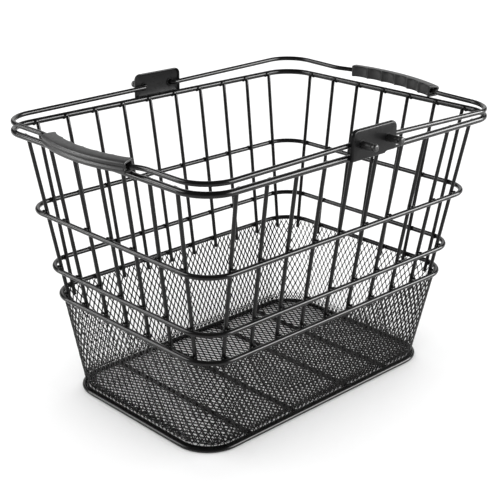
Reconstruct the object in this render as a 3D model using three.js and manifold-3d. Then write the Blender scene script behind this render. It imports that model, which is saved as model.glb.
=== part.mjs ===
// Lift-off wire basket with two folding carry handles, in millimetres, +Z up.
// X runs along the long side, Y along the short side. The origin is on the ground under the middle.
import * as THREE from 'three';
import { mergeVertices } from 'three/addons/utils/BufferGeometryUtils.js';
import Module from 'manifold-3d';

const wasm = await Module();
wasm.setup();

// Wire diameters
const RIM_WIRE = 5;
const RING_WIRE = 4;
const UPRIGHT_WIRE = 3;
const HANDLE_WIRE = 4.5;

// Rings: half lengths and half widths to the wire's centre, corner radii and heights
const RIM_HALF = { x: 186, y: 137.5 };
const RIM_CORNER = 30;
const RIM_HEIGHT = 254;
const UPPER_RING_HEIGHT = 180;
const MIDDLE_RING_HEIGHT = 124;
const RING_CORNER_TIGHTER = 1;
const MESH_TOP_HALF = { x: 162, y: 112.6 };
const MESH_TOP_CORNER = 30;
const MESH_TOP_HEIGHT = 96;
const BASE_HALF = { x: 153, y: 98.6 };
const BASE_CORNER = 34;

// Uprights: how many stand in each wall, and how far the last one stays from the corner
const LONG_WALL_UPRIGHTS = 10;
const SHORT_WALL_UPRIGHTS = 7;
const CORNER_SPACE_TOP = 36.5;
const CORNER_SPACE_FOOT = 23;
const UPRIGHT_ABOVE_RIM = 1.5;
const UPRIGHT_BELOW_MESH_TOP = 8.5;

// Expanded-metal lining, as plain sheet of the same thickness
const MESH_THICKNESS = 1.2;
const MESH_ABOVE_RING = 1.5;
const INNER_RIBS_APART = 73;
const OUTER_RIBS_APART = 188;

// Pivot plates, one outside the rim at the middle of each long side
const PLATE_WIDTH = 57;
const PLATE_HEIGHT = 27;
const PLATE_BELOW_RIM = 2.6;
const PLATE_CORNER = 6;
const PLATE_WALL = 1.6;
const PLATE_DEPTH = 3.4;
const PLATE_LIP = 1.4;
const PLATE_FOOT = 6.2;

// Carry handles: pivots, how far each lying handle is out of level at its two corners, and the bow
// that the grip follows
const PIVOT_SPACING = 33.3;
const PIVOT_ABOVE_RIM = 11;
const LEFT_LEVEL = { near: 0, far: 0 };
const RIGHT_LEVEL = { near: -2.1, far: 6.4 };
const HANDLE_CORNER = 30;
const BOW_HEIGHT = 14;
const BOW_PAST_GRIP = 18;
const BOW_END_BEND = 30;

// Moulded grips, and how far along its wire each one sits from the middle of the bow
const GRIP_LENGTH = 108;
const GRIP_OFF_MIDDLE = { left: 0, right: 6 };
const GRIP_HEIGHT = 11.5;
const GRIP_INNER = 6;
const GRIP_OUTER = 7;
const GRIP_LOBE = 3;
const GRIP_EDGE = 1.2;
const SCALLOPS = 6;
const SCALLOP_DEPTH = 1.6;
const SCALLOP_RIDGE = 2;

// Push-on end caps, which keep the handle wires in the plates
const CAP_DIAMETER = 7;
const CAP_LENGTH = 15.5;
const CAP_END_WALL = 3;
const CAP_ROUND = 1.5;

// Clearances
const TOUCH_GAP = 0.3;
const GRIP_OVER_RIM = 0.35;
const PIVOT_CLEARANCE = 0.5;

// Facets
const WIRE_SIDES = 8;
const BEND_STEP = THREE.MathUtils.degToRad(11.25);
const LONGEST_BEND_FACET = 8;
// Each arc of an outline is drawn in twice this many steps, so that it has the same facets as a bent wire
const OUTLINE_STEPS = Math.round(Math.PI / 4 / BEND_STEP);

const radiusOf = (diameter) => diameter / 2;
const basket = new THREE.Group();

function finish(name, colour, roughness, metalness) {
  return new THREE.MeshStandardMaterial({ name, color: colour, roughness, metalness });
}

const coatedWire = () => finish('coated_wire', 0x121214, 0.28, 0.4);
const coatedMesh = () => finish('coated_mesh', 0x151517, 0.4, 0.3);
const coatedPlate = () => finish('coated_plate', 0x1b1b1e, 0.35, 0.3);
const gripPlastic = () => finish('grip_plastic', 0x161617, 0.45, 0);
const capPlastic = () => finish('cap_plastic', 0x101011, 0.35, 0);

function addPiece(name, geometry, material) {
  const mesh = new THREE.Mesh(geometry, material);
  mesh.name = name;
  basket.add(mesh);
  return mesh;
}

// ---------- joining and cutting ----------

function toSolid(geometry) {
  const bare = geometry.clone();
  bare.deleteAttribute('normal');
  bare.deleteAttribute('uv');
  const merged = mergeVertices(bare, 1e-4);
  return new wasm.Manifold(new wasm.Mesh({
    numProp: 3,
    vertProperties: new Float32Array(merged.attributes.position.array),
    triVerts: new Uint32Array(merged.index.array),
  }));
}

function toGeometry(solid) {
  const mesh = solid.getMesh();
  const geometry = new THREE.BufferGeometry();
  geometry.setAttribute('position', new THREE.BufferAttribute(mesh.vertProperties, 3));
  geometry.setIndex(new THREE.BufferAttribute(mesh.triVerts, 1));
  return geometry;
}

// ---------- bent wires ----------

// A wire laid out on the bench: straight runs and bends from a start point, seen from above.
class WireLayout {
  constructor(x, y, heading) {
    this.x = x;
    this.y = y;
    this.heading = heading;
    this.stations = [{ x, y, heading }];
  }

  run(length) {
    this.x += length * Math.cos(this.heading);
    this.y += length * Math.sin(this.heading);
    this.stations.push({ x: this.x, y: this.y, heading: this.heading });
    return this;
  }

  bend(radius, angle) {
    const step = Math.min(BEND_STEP, LONGEST_BEND_FACET / radius);
    const steps = Math.ceil(Math.abs(angle) / step - 1e-6);
    const side = Math.sign(angle);
    const centreX = this.x - side * radius * Math.sin(this.heading);
    const centreY = this.y + side * radius * Math.cos(this.heading);
    const start = this.heading;
    for (let i = 1; i <= steps; i += 1) {
      const heading = start + (angle * i) / steps;
      const x = centreX + side * radius * Math.sin(heading);
      const y = centreY - side * radius * Math.cos(heading);
      this.stations.push({ x, y, heading });
    }
    const last = this.stations[this.stations.length - 1];
    Object.assign(this, { x: last.x, y: last.y, heading: last.heading });
    return this;
  }
}

// A curve with one section at each station of a layout, so straight runs need no steps between.
class WireCurve extends THREE.Curve {
  constructor(stations, heightAt) {
    super();
    this.points = stations.map(({ x, y }) => new THREE.Vector3(x, y, heightAt(x, y)));
    this.tangents = stations.map(({ x, y, heading }) => {
      const dx = Math.cos(heading);
      const dy = Math.sin(heading);
      const rise = heightAt(x + dx, y + dy) - heightAt(x - dx, y - dy);
      return new THREE.Vector3(dx, dy, rise / 2).normalize();
    });
    this.steps = stations.length - 1;
  }

  getPointAt(u, target = new THREE.Vector3()) {
    return target.copy(this.points[Math.round(u * this.steps)]);
  }

  getTangentAt(u, target = new THREE.Vector3()) {
    return target.copy(this.tangents[Math.round(u * this.steps)]);
  }
}

// A round section drawn as a polygon whose flats lie at the true radius, one of them facing down.
function wireSection(diameter) {
  const corner = radiusOf(diameter) / Math.cos(Math.PI / WIRE_SIDES);
  const points = [];
  for (let i = 0; i < WIRE_SIDES; i += 1) {
    const angle = ((i + 0.5) * 2 * Math.PI) / WIRE_SIDES;
    points.push(new THREE.Vector2(corner * Math.cos(angle), corner * Math.sin(angle)));
  }
  return new THREE.Shape(points);
}

function sweep(section, curve) {
  return new THREE.ExtrudeGeometry(section, { steps: curve.steps, extrudePath: curve });
}

// A closed ring with rounded corners: two halves joined at the middles of the long sides.
function ringWire(half, corner, height, diameter) {
  const layout = new WireLayout(0, -half.y, 0);
  layout.run(half.x - corner).bend(corner, Math.PI / 2);
  layout.run(2 * (half.y - corner)).bend(corner, Math.PI / 2);
  layout.run(half.x - corner);
  const rightHalf = sweep(wireSection(diameter), new WireCurve(layout.stations, () => height));
  const leftHalf = rightHalf.clone().rotateZ(Math.PI);
  return toGeometry(toSolid(rightHalf).add(toSolid(leftHalf)));
}

// ---------- the walls' common lines ----------

// How far the upright wires' walls and the mesh lean out for each millimetre of height
const uprightLean = (axis) => (RIM_HALF[axis] - MESH_TOP_HALF[axis]) / (RIM_HEIGHT - MESH_TOP_HEIGHT);
const meshRise = MESH_TOP_HEIGHT - radiusOf(RING_WIRE);
const meshLean = (axis) => (MESH_TOP_HALF[axis] - BASE_HALF[axis]) / meshRise;

// A leaning wire or sheet needs this many times its own clearance, measured level
const uprightSlant = Math.hypot(1, uprightLean('x'), uprightLean('y'));
const meshSlant = Math.hypot(1, meshLean('x'), meshLean('y'));

const MESH_BOTTOM = RING_WIRE + TOUCH_GAP;
const MESH_INSET = meshSlant * (radiusOf(RING_WIRE) + TOUCH_GAP);

// How far in the uprights' centres stay from the centre of the rim, and from that of a ring
const rimInset = uprightSlant * (radiusOf(RIM_WIRE) + TOUCH_GAP + radiusOf(UPRIGHT_WIRE));
const ringInset = uprightSlant * (radiusOf(RING_WIRE) + TOUCH_GAP + radiusOf(UPRIGHT_WIRE));

// At the mesh they stay inside its sheet, which leans by another angle: the two come closest at one
// end of their overlap.
function meshTopInset(axis) {
  const steeperMesh = meshLean(axis) - uprightLean(axis);
  const closer = Math.max(steeperMesh * UPRIGHT_BELOW_MESH_TOP, -steeperMesh * MESH_ABOVE_RING);
  return MESH_INSET + MESH_THICKNESS + uprightSlant * (TOUCH_GAP + radiusOf(UPRIGHT_WIRE)) + closer;
}

// The rounded outlines that the uprights' centres stand on, at the rim and at the ring of the mesh
function insetOutline(half, corner, inset) {
  return { x: half.x - inset.x, y: half.y - inset.y, corner: corner - Math.min(inset.x, inset.y) };
}
const uprightTops = insetOutline(RIM_HALF, RIM_CORNER, { x: rimInset, y: rimInset });
const uprightFeet = insetOutline(
  MESH_TOP_HALF, MESH_TOP_CORNER, { x: meshTopInset('x'), y: meshTopInset('y') },
);

// A ring that touches the outside of the leaning uprights at a height
function ringAt(height) {
  const down = (RIM_HEIGHT - height) / (RIM_HEIGHT - MESH_TOP_HEIGHT);
  const outside = (size) => THREE.MathUtils.lerp(uprightTops[size], uprightFeet[size], down) + ringInset;
  const half = { x: outside('x'), y: outside('y') };
  return ringWire(half, outside('corner') - RING_CORNER_TIGHTER, height, RING_WIRE);
}

// Distance of a rounded outline from the middle, at a place along one of its walls
function outlineAt(outline, along, alongAxis, acrossAxis) {
  const intoCorner = Math.max(0, Math.abs(along) - (outline[alongAxis] - outline.corner));
  const drop = outline.corner - Math.sqrt(outline.corner ** 2 - Math.min(intoCorner, outline.corner) ** 2);
  return outline[acrossAxis] - drop;
}

// ---------- pieces of the basket ----------

function addRings() {
  addPiece('rim_wire', ringWire(RIM_HALF, RIM_CORNER, RIM_HEIGHT, RIM_WIRE), coatedWire());
  for (const [name, height] of [['upper_ring', UPPER_RING_HEIGHT], ['middle_ring', MIDDLE_RING_HEIGHT]]) {
    addPiece(name, ringAt(height), coatedWire());
  }
  const meshTop = ringWire(MESH_TOP_HALF, MESH_TOP_CORNER, MESH_TOP_HEIGHT, RING_WIRE);
  addPiece('mesh_top_ring', meshTop, coatedWire());
  const base = ringWire(BASE_HALF, BASE_CORNER, radiusOf(RING_WIRE), RING_WIRE);
  addPiece('base_ring', base, coatedWire());
}

function addUpright(name, top, foot) {
  const up = new THREE.Vector3().subVectors(top, foot).normalize();
  const start = foot.clone().addScaledVector(up, -UPRIGHT_BELOW_MESH_TOP / up.z);
  const end = top.clone().addScaledVector(up, UPRIGHT_ABOVE_RIM / up.z);
  const corner = radiusOf(UPRIGHT_WIRE) / Math.cos(Math.PI / WIRE_SIDES);
  const length = start.distanceTo(end);
  const turn = Math.PI / WIRE_SIDES;
  const geometry = new THREE.CylinderGeometry(corner, corner, length, WIRE_SIDES, 1, false, turn);
  const wire = addPiece(name, geometry, coatedWire());
  wire.position.addVectors(start, end).multiplyScalar(0.5);
  wire.quaternion.setFromUnitVectors(new THREE.Vector3(0, 1, 0), up);
}

// One wall of uprights. place(along, out) turns wall coordinates into X and Y.
function addWallOfUprights(wall, count, alongAxis, acrossAxis, place) {
  const spreadTop = RIM_HALF[alongAxis] - CORNER_SPACE_TOP;
  const spreadFoot = MESH_TOP_HALF[alongAxis] - CORNER_SPACE_FOOT;
  for (let i = 0; i < count; i += 1) {
    const share = (2 * i) / (count - 1) - 1;
    const top = share * spreadTop;
    const foot = share * spreadFoot;
    const outTop = outlineAt(uprightTops, top, alongAxis, acrossAxis);
    const outFoot = outlineAt(uprightFeet, foot, alongAxis, acrossAxis);
    const number = String(i + 1).padStart(2, '0');
    const topPoint = new THREE.Vector3(...place(top, outTop), RIM_HEIGHT);
    const footPoint = new THREE.Vector3(...place(foot, outFoot), MESH_TOP_HEIGHT);
    addUpright(`${wall}_upright_${number}`, topPoint, footPoint);
  }
}

function addUprights() {
  addWallOfUprights('front', LONG_WALL_UPRIGHTS, 'x', 'y', (along, out) => [along, -out]);
  addWallOfUprights('back', LONG_WALL_UPRIGHTS, 'x', 'y', (along, out) => [along, out]);
  addWallOfUprights('left', SHORT_WALL_UPRIGHTS, 'y', 'x', (along, out) => [-out, along]);
  addWallOfUprights('right', SHORT_WALL_UPRIGHTS, 'y', 'x', (along, out) => [out, along]);
}

function roundedOutline(halfX, halfY, corner) {
  const outline = new THREE.Shape();
  outline.moveTo(halfX, corner - halfY);
  outline.lineTo(halfX, halfY - corner);
  outline.absarc(halfX - corner, halfY - corner, corner, 0, Math.PI / 2);
  outline.lineTo(corner - halfX, halfY);
  outline.absarc(corner - halfX, halfY - corner, corner, Math.PI / 2, Math.PI);
  outline.lineTo(-halfX, corner - halfY);
  outline.absarc(corner - halfX, corner - halfY, corner, Math.PI, 1.5 * Math.PI);
  outline.lineTo(halfX - corner, -halfY);
  outline.absarc(halfX - corner, corner - halfY, corner, 1.5 * Math.PI, 2 * Math.PI);
  return outline;
}

// The mesh band's outer face at a height, set in from the base ring and from the ring at its top
function meshSizeAt(height) {
  const share = (height - radiusOf(RING_WIRE)) / meshRise;
  return {
    x: THREE.MathUtils.lerp(BASE_HALF.x, MESH_TOP_HALF.x, share) - MESH_INSET,
    y: THREE.MathUtils.lerp(BASE_HALF.y, MESH_TOP_HALF.y, share) - MESH_INSET,
    corner: THREE.MathUtils.lerp(BASE_CORNER, MESH_TOP_CORNER, share) - MESH_INSET,
  };
}

// Moves a straight-sided rounded wall out to the taper: each point keeps its angle round its corner.
function taperWall(geometry, foot) {
  const place = geometry.attributes.position;
  const offset = new THREE.Vector2();
  for (let i = 0; i < place.count; i += 1) {
    const size = meshSizeAt(place.getZ(i));
    const signX = Math.sign(place.getX(i));
    const signY = Math.sign(place.getY(i));
    offset.x = place.getX(i) - signX * (foot.x - foot.corner);
    offset.y = place.getY(i) - signY * (foot.y - foot.corner);
    offset.setLength(offset.length() + size.corner - foot.corner);
    place.setX(i, signX * (size.x - size.corner) + offset.x);
    place.setY(i, signY * (size.y - size.corner) + offset.y);
  }
}

// A band that widens upwards from the base ring to the ring at the top of the mesh
function addSideMesh() {
  const height = MESH_TOP_HEIGHT + MESH_ABOVE_RING - MESH_BOTTOM;
  const foot = meshSizeAt(MESH_BOTTOM);
  const wall = roundedOutline(foot.x, foot.y, foot.corner);
  wall.holes.push(
    roundedOutline(foot.x - MESH_THICKNESS, foot.y - MESH_THICKNESS, foot.corner - MESH_THICKNESS),
  );
  const band = new THREE.ExtrudeGeometry(
    wall, { depth: height, bevelEnabled: false, curveSegments: OUTLINE_STEPS },
  );
  band.translate(0, 0, MESH_BOTTOM);
  taperWall(band, foot);
  addPiece('side_mesh', band, coatedMesh());
}

function addBottomMesh() {
  const edge = MESH_THICKNESS + TOUCH_GAP;
  const foot = meshSizeAt(MESH_BOTTOM);
  const outline = roundedOutline(foot.x - edge, foot.y - edge, foot.corner - edge);
  const sheet = new THREE.ExtrudeGeometry(
    outline, { depth: MESH_THICKNESS, bevelEnabled: false, curveSegments: OUTLINE_STEPS },
  );
  sheet.translate(0, 0, MESH_BOTTOM);
  addPiece('bottom_mesh', sheet, coatedMesh());
}

// Cross wires on the ground, under the bottom mesh, from one long side of the base ring to the other
function addRibs() {
  const length = 2 * (BASE_HALF.y - radiusOf(RING_WIRE) - TOUCH_GAP);
  const places = [-OUTER_RIBS_APART / 2, -INNER_RIBS_APART / 2, INNER_RIBS_APART / 2, OUTER_RIBS_APART / 2];
  for (const [i, x] of places.entries()) {
    const layout = new WireLayout(x, -length / 2, Math.PI / 2).run(length);
    const curve = new WireCurve(layout.stations, () => radiusOf(RING_WIRE));
    addPiece(`bottom_rib_${i + 1}`, sweep(wireSection(RING_WIRE), curve), coatedWire());
  }
}

// ---------- pivot plates ----------

const PIVOT_HEIGHT = RIM_HEIGHT + PIVOT_ABOVE_RIM;
const PLATE_BACK = RIM_HALF.y + radiusOf(RIM_WIRE) + TOUCH_GAP;
const PLATE_FACE = PLATE_BACK + PLATE_DEPTH;

function plateOutline(width, bottom, top, corner) {
  const outline = new THREE.Shape();
  outline.moveTo(-width / 2, bottom);
  outline.lineTo(width / 2, bottom);
  outline.lineTo(width / 2, top - corner);
  outline.absarc(width / 2 - corner, top - corner, corner, 0, Math.PI / 2);
  outline.lineTo(corner - width / 2, top);
  outline.absarc(corner - width / 2, top - corner, corner, Math.PI / 2, Math.PI);
  return outline;
}

// A flat outline in X and Z made solid between two distances in front of the basket's middle plane
function standingSlab(outline, from, to) {
  const slab = new THREE.ExtrudeGeometry(
    outline, { depth: to - from, bevelEnabled: false, curveSegments: OUTLINE_STEPS },
  );
  slab.rotateX(Math.PI / 2);
  slab.translate(0, -from, 0);
  return toSolid(slab);
}

// A shallow pan with its open side to the basket, and a solid foot that is welded to the rim
function pivotPlate() {
  const bottom = RIM_HEIGHT - PLATE_BELOW_RIM;
  const top = bottom + PLATE_HEIGHT;
  const pan = standingSlab(plateOutline(PLATE_WIDTH, bottom, top, PLATE_CORNER), PLATE_BACK, PLATE_FACE);
  const hollow = plateOutline(
    PLATE_WIDTH - 2 * PLATE_LIP, bottom + PLATE_FOOT, top - PLATE_LIP, PLATE_CORNER - PLATE_LIP,
  );
  let plate = pan.subtract(standingSlab(hollow, PLATE_BACK - 1, PLATE_FACE - PLATE_WALL));
  for (const side of [-1, 1]) {
    const hole = new THREE.CylinderGeometry(
      radiusOf(HANDLE_WIRE) + PIVOT_CLEARANCE, radiusOf(HANDLE_WIRE) + PIVOT_CLEARANCE, 4 * PLATE_DEPTH, 24,
    );
    hole.translate((side * PIVOT_SPACING) / 2, -PLATE_FACE, PIVOT_HEIGHT);
    plate = plate.subtract(toSolid(hole));
  }
  return toGeometry(plate);
}

function addPlates() {
  addPiece('front_pivot_plate', pivotPlate(), coatedPlate());
  addPiece('back_pivot_plate', pivotPlate().rotateZ(Math.PI), coatedPlate());
}

// ---------- carry handles ----------

const CAP_START = PLATE_FACE + TOUCH_GAP;
const WIRE_END = CAP_START + CAP_LENGTH - CAP_END_WALL - TOUCH_GAP;
const HANDLE_REACH = RIM_HALF.x;
const BOW_REACH = GRIP_LENGTH / 2 + BOW_PAST_GRIP;
// The wire turns into its pin just inside the plate, so that the pin is straight where it passes through
const PIVOT_BEND = PLATE_FACE - PLATE_WALL - TOUCH_GAP - RIM_HALF.y;
const bowAngle = 2 * Math.atan(BOW_HEIGHT / BOW_REACH);
const bowRadius = BOW_REACH / Math.sin(bowAngle) - BOW_END_BEND;

// Height of a handle's centre line: from the pivots it slopes down until its grip lies on the rim, or
// a little off that where the handle is out of level
function handleHeight(level) {
  const lyingHeight = RIM_HEIGHT + radiusOf(RIM_WIRE) + GRIP_OVER_RIM + GRIP_HEIGHT / 2;
  return (x, y) => {
    const out = Math.max(0, Math.abs(x) - PIVOT_SPACING / 2) / (HANDLE_REACH - PIVOT_SPACING / 2);
    const back = (y / RIM_HALF.y + 1) / 2;
    const endHeight = lyingHeight + THREE.MathUtils.lerp(level.near, level.far, back);
    return THREE.MathUtils.lerp(PIVOT_HEIGHT, endHeight, out);
  };
}

// The left handle from its front pin round to its back pin. It lies over the rim.
function handleLayout() {
  const quarter = Math.PI / 2;
  const legEnd = HANDLE_REACH - HANDLE_CORNER;
  const layout = new WireLayout(-PIVOT_SPACING / 2, -WIRE_END, quarter);
  layout.run(WIRE_END - RIM_HALF.y - PIVOT_BEND).bend(PIVOT_BEND, quarter);
  layout.run(legEnd - PIVOT_SPACING / 2 - PIVOT_BEND).bend(HANDLE_CORNER, -quarter);
  layout.run(RIM_HALF.y - HANDLE_CORNER - BOW_REACH);
  layout.bend(BOW_END_BEND, bowAngle).bend(bowRadius, -2 * bowAngle).bend(BOW_END_BEND, bowAngle);
  layout.run(RIM_HALF.y - HANDLE_CORNER - BOW_REACH);
  layout.bend(HANDLE_CORNER, -quarter).run(legEnd - PIVOT_SPACING / 2 - PIVOT_BEND);
  layout.bend(PIVOT_BEND, quarter).run(WIRE_END - RIM_HALF.y - PIVOT_BEND);
  return layout;
}

// The right handle is the left one turned half round, so its stations are turned before they are lifted.
function turned(stations, side) {
  if (side === 'left') return stations;
  return stations.map(({ x, y, heading }) => ({ x: -x, y: -y, heading: heading + Math.PI }));
}

// The grip's section: x is down and y is outwards. The outer face has two lobes with a flute between.
function gripSection() {
  const half = GRIP_HEIGHT / 2;
  const lobeX = half - GRIP_LOBE;
  const lobeY = GRIP_OUTER - GRIP_LOBE;
  const fluteTurn = THREE.MathUtils.degToRad(130);
  const section = new THREE.Shape();
  section.moveTo(half - GRIP_EDGE, -GRIP_INNER);
  section.lineTo(half, GRIP_EDGE - GRIP_INNER);
  section.lineTo(half, lobeY);
  section.absarc(lobeX, lobeY, GRIP_LOBE, 0, fluteTurn);
  section.absarc(-lobeX, lobeY, GRIP_LOBE, Math.PI - fluteTurn, Math.PI);
  section.lineTo(-half, GRIP_EDGE - GRIP_INNER);
  section.lineTo(GRIP_EDGE - half, -GRIP_INNER);
  const bore = wireSection(HANDLE_WIRE + 2 * TOUCH_GAP);
  section.holes.push(new THREE.Path(bore.getPoints()));
  return section;
}

const GRIP_STEPS = 14;

// How far round its bow, in radians, the middle of a grip sits from the middle of the bow
function gripTurn(side) {
  return GRIP_OFF_MIDDLE[side] / bowRadius;
}

function gripCurve(side, heightAt) {
  const halfAngle = Math.asin(GRIP_LENGTH / 2 / bowRadius);
  const centre = bowRadius - HANDLE_REACH - BOW_HEIGHT;
  const stations = [];
  for (let i = 0; i <= GRIP_STEPS; i += 1) {
    const angle = gripTurn(side) + halfAngle * ((2 * i) / GRIP_STEPS - 1);
    const x = centre - bowRadius * Math.cos(angle);
    const y = bowRadius * Math.sin(angle);
    stations.push({ x, y, heading: Math.PI / 2 - angle });
  }
  return new WireCurve(turned(stations, side), heightAt);
}

// Finger scallops: upright rollers laid side by side along the inner face of the grip
function scallopRollers(side, heightAt) {
  const sign = side === 'left' ? -1 : 1;
  const pitch = GRIP_LENGTH / SCALLOPS;
  const halfChord = (pitch - SCALLOP_RIDGE) / 2;
  const roller = (halfChord ** 2 + SCALLOP_DEPTH ** 2) / (2 * SCALLOP_DEPTH);
  const innerFace = bowRadius - GRIP_INNER;
  const centre = bowRadius - HANDLE_REACH - BOW_HEIGHT;
  const rollers = [];
  for (let i = 0; i < SCALLOPS; i += 1) {
    const angle = gripTurn(side) + ((i - (SCALLOPS - 1) / 2) * pitch) / bowRadius;
    const out = innerFace + SCALLOP_DEPTH - roller;
    const x = -sign * (centre - out * Math.cos(angle));
    const y = -sign * out * Math.sin(angle);
    const cutter = new THREE.CylinderGeometry(roller, roller, 3 * GRIP_HEIGHT, 48);
    cutter.rotateX(Math.PI / 2);
    cutter.translate(x, y, heightAt(x, y));
    rollers.push(toSolid(cutter));
  }
  return rollers;
}

function gripGeometry(side, heightAt) {
  let grip = toSolid(sweep(gripSection(), gripCurve(side, heightAt)));
  for (const roller of scallopRollers(side, heightAt)) {
    grip = grip.subtract(roller);
  }
  return toGeometry(grip);
}

// A blind cap turned about its own axis, its open end at the origin and its tip along +Y
function capGeometry() {
  const outer = radiusOf(CAP_DIAMETER);
  const bore = radiusOf(HANDLE_WIRE) / Math.cos(Math.PI / WIRE_SIDES) + TOUCH_GAP;
  const profile = [
    new THREE.Vector2(0, CAP_LENGTH - CAP_END_WALL),
    new THREE.Vector2(bore, CAP_LENGTH - CAP_END_WALL),
    new THREE.Vector2(bore, 0),
    new THREE.Vector2(outer, 0),
  ];
  const roundSteps = 4;
  for (let i = 0; i <= roundSteps; i += 1) {
    const angle = (i / roundSteps) * (Math.PI / 2);
    const x = outer - CAP_ROUND + CAP_ROUND * Math.cos(angle);
    const y = CAP_LENGTH - CAP_ROUND + CAP_ROUND * Math.sin(angle);
    profile.push(new THREE.Vector2(x, y));
  }
  profile.push(new THREE.Vector2(0, CAP_LENGTH));
  return new THREE.LatheGeometry(profile, 16);
}

function addHandle(side, level) {
  const heightAt = handleHeight(level);
  const sign = side === 'left' ? -1 : 1;
  const wire = new WireCurve(turned(handleLayout().stations, side), heightAt);
  addPiece(`${side}_handle_wire`, sweep(wireSection(HANDLE_WIRE), wire), coatedWire());
  addPiece(`${side}_grip`, gripGeometry(side, heightAt), gripPlastic());
  for (const [end, facing] of [['front', -1], ['back', 1]]) {
    const cap = addPiece(`${side}_${end}_end_cap`, capGeometry(), capPlastic());
    cap.position.set((sign * PIVOT_SPACING) / 2, facing * CAP_START, PIVOT_HEIGHT);
    if (facing < 0) cap.rotation.z = Math.PI;
  }
}

addRings();
addUprights();
addSideMesh();
addBottomMesh();
addRibs();
addPlates();
addHandle('left', LEFT_LEVEL);
addHandle('right', RIGHT_LEVEL);

export default basket;
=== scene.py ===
"""The looks of the wire basket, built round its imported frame: metres, +Z up, X along the long side."""
import math

import bmesh
import bpy
import numpy as np
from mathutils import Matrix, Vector


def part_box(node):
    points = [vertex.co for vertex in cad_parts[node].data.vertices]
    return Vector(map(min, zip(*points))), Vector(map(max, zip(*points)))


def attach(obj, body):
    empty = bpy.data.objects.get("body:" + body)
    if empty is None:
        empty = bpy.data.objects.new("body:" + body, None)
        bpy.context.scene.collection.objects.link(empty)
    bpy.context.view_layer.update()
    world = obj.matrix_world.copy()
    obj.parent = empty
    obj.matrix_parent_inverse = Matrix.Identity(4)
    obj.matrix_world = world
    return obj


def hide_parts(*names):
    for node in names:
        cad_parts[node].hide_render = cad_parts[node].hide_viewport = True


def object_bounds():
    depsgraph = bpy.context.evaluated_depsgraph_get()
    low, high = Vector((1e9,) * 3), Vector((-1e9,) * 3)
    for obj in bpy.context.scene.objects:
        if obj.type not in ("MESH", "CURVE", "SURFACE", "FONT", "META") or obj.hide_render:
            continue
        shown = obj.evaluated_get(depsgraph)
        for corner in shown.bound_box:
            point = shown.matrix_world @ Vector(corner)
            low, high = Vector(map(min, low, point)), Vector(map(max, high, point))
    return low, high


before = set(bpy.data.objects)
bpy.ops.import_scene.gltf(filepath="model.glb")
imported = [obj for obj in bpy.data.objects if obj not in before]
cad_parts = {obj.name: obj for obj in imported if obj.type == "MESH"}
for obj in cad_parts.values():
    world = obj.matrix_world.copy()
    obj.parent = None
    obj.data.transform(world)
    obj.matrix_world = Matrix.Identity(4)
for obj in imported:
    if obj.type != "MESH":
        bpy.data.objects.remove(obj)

MM = 0.001
cad_low, cad_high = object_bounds()

# Wires: radii, the coating on them, corner radii, how round a cut end is, and how far short of its CAD
# node's top an upright ends
RIM_RADIUS = 2.5 * MM
RING_RADIUS = 2.0 * MM
UPRIGHT_RADIUS = 1.5 * MM
HANDLE_RADIUS = 2.25 * MM
COATING = 0.3 * MM
RIM_CORNER = 30 * MM
RING_CORNER = 28.1 * MM
MESH_TOP_CORNER = 30 * MM
BASE_CORNER = 34 * MM
CUT_END_ROUND = 0.7 * MM
UPRIGHT_SHORT_OF_CAD = 1.2 * MM

# Weld beads: the one between a ring and an upright, the two beside it and where they sit, the ones at a
# rib's ends, and the ones between a plate and the rim. A triple is (length, height, depth)
BEAD_LENGTH = 5.6 * MM
BEAD_PROUD = 0.3 * MM
BEAD_DEPTH = 2.4 * MM
SIDE_BEAD = (3.2 * MM, 2.8 * MM, 3.0 * MM)
SIDE_BEAD_ALONG = 2.3 * MM
SIDE_BEAD_OUT = 1.1 * MM
RIB_BEAD = (6.0 * MM, 3.4 * MM, 3.0 * MM)
PLATE_BEADS = [(-20 * MM, 7 * MM), (-2 * MM, 6 * MM), (7 * MM, 8 * MM), (21 * MM, 7 * MM)]
PLATE_BEAD_HEIGHT = 3.2 * MM
PLATE_BEAD_DEPTH = 3.0 * MM
PLATE_BEAD_ABOVE_RIM = 1.4 * MM
WELD_WAIST = 0.25

# Expanded metal: a diamond, its strands and their twist, the wall's distance inside the rings, the strip
# folded up inside the wall, the plain strips along the wall's edges, and the floor mesh's cut edge
DIAMOND_WIDTH = 5.9 * MM
DIAMOND_HEIGHT = 10.7 * MM
STRAND_WIDTH = 0.85 * MM
STRAND_THICKNESS = 0.65 * MM
STRAND_TWIST = -0.2 * MM
STRAND_ROUND = 0.12 * MM
SETBACK_AT_FOOT = 3.0 * MM
SETBACK_AT_TOP = 1.7 * MM
MESH_FOOT = 1.7 * MM
FLANGE_REACH = 8.5 * MM
FLANGE_RISE = 6.0 * MM
FLANGE_INSIDE = 0.9 * MM
FLANGE_FOLD = 1.5 * MM
HEM_HEIGHT = 2.0 * MM
FOOT_STRIP_TOP = 4.8 * MM
STRIP_THICKNESS = 1.2 * MM
FLOOR_MESH_EDGE = 1.0 * MM

# Pivot plates
PLATE_CORNER = 6 * MM
PLATE_EDGE_ROUND = 1.7 * MM
PLATE_WALL = 1.5 * MM
PLATE_LIP = 1.4 * MM
PLATE_FOOT_CORNER = 1.2 * MM
PLATE_NOTCH = 1.6 * MM
PLATE_NOTCH_SHARE = 0.24
HOLE_RADIUS = 2.75 * MM
COLLAR_WIDTH = 1.5 * MM
COLLAR_HEIGHT = 0.9 * MM
OUTER_COLLAR_HEIGHT = 0.22 * MM

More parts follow.
